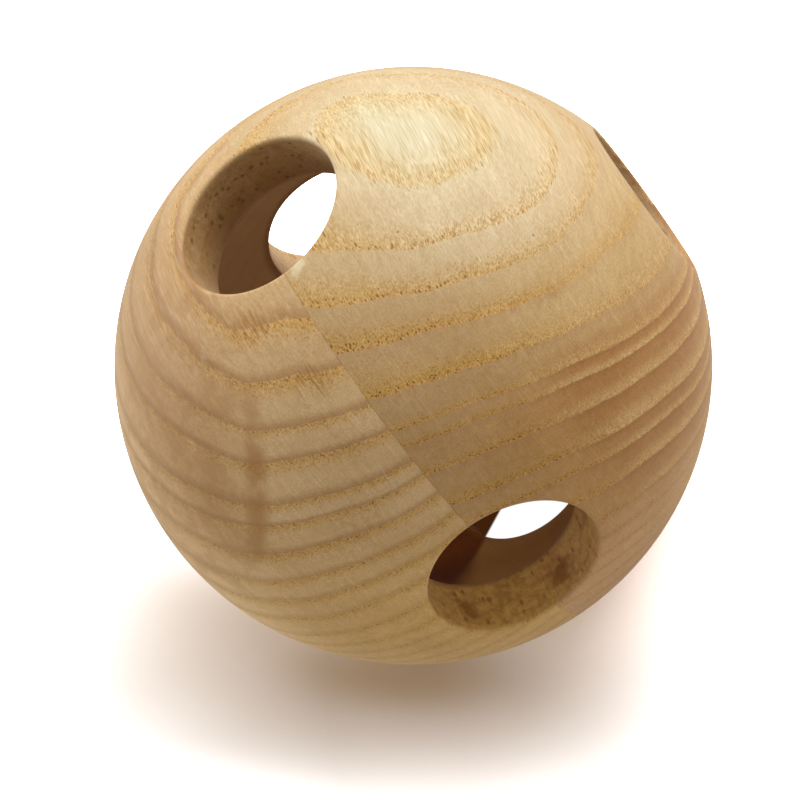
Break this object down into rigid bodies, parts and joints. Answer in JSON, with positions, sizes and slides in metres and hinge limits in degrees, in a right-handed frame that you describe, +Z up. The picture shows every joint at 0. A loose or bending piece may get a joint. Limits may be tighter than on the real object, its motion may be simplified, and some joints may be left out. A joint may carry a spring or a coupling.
{
  "type": "hollow wooden ball",
  "caption": "Hollow ball of pale ring-porous wood, glued from halves, with round bores along the three axes that meet in its round cavity; a cord, dowel, filling or finger goes in.",
  "frame": {"origin": "centre of the ball, where the axes of the bores cross", "axes": "glued faces on the plane x = 0; +X through the right mouth, -Y through the front mouth, +Z up through the top mouth"},
  "size_m": [0.0678, 0.0678, 0.0678],
  "materials": {
    "right_wood": "satin",
    "left_wood": "satin"
  },
  "bodies": {
    "root": {"right_half": "right_wood", "left_half": "left_wood"}
  },
  "joints": []
}
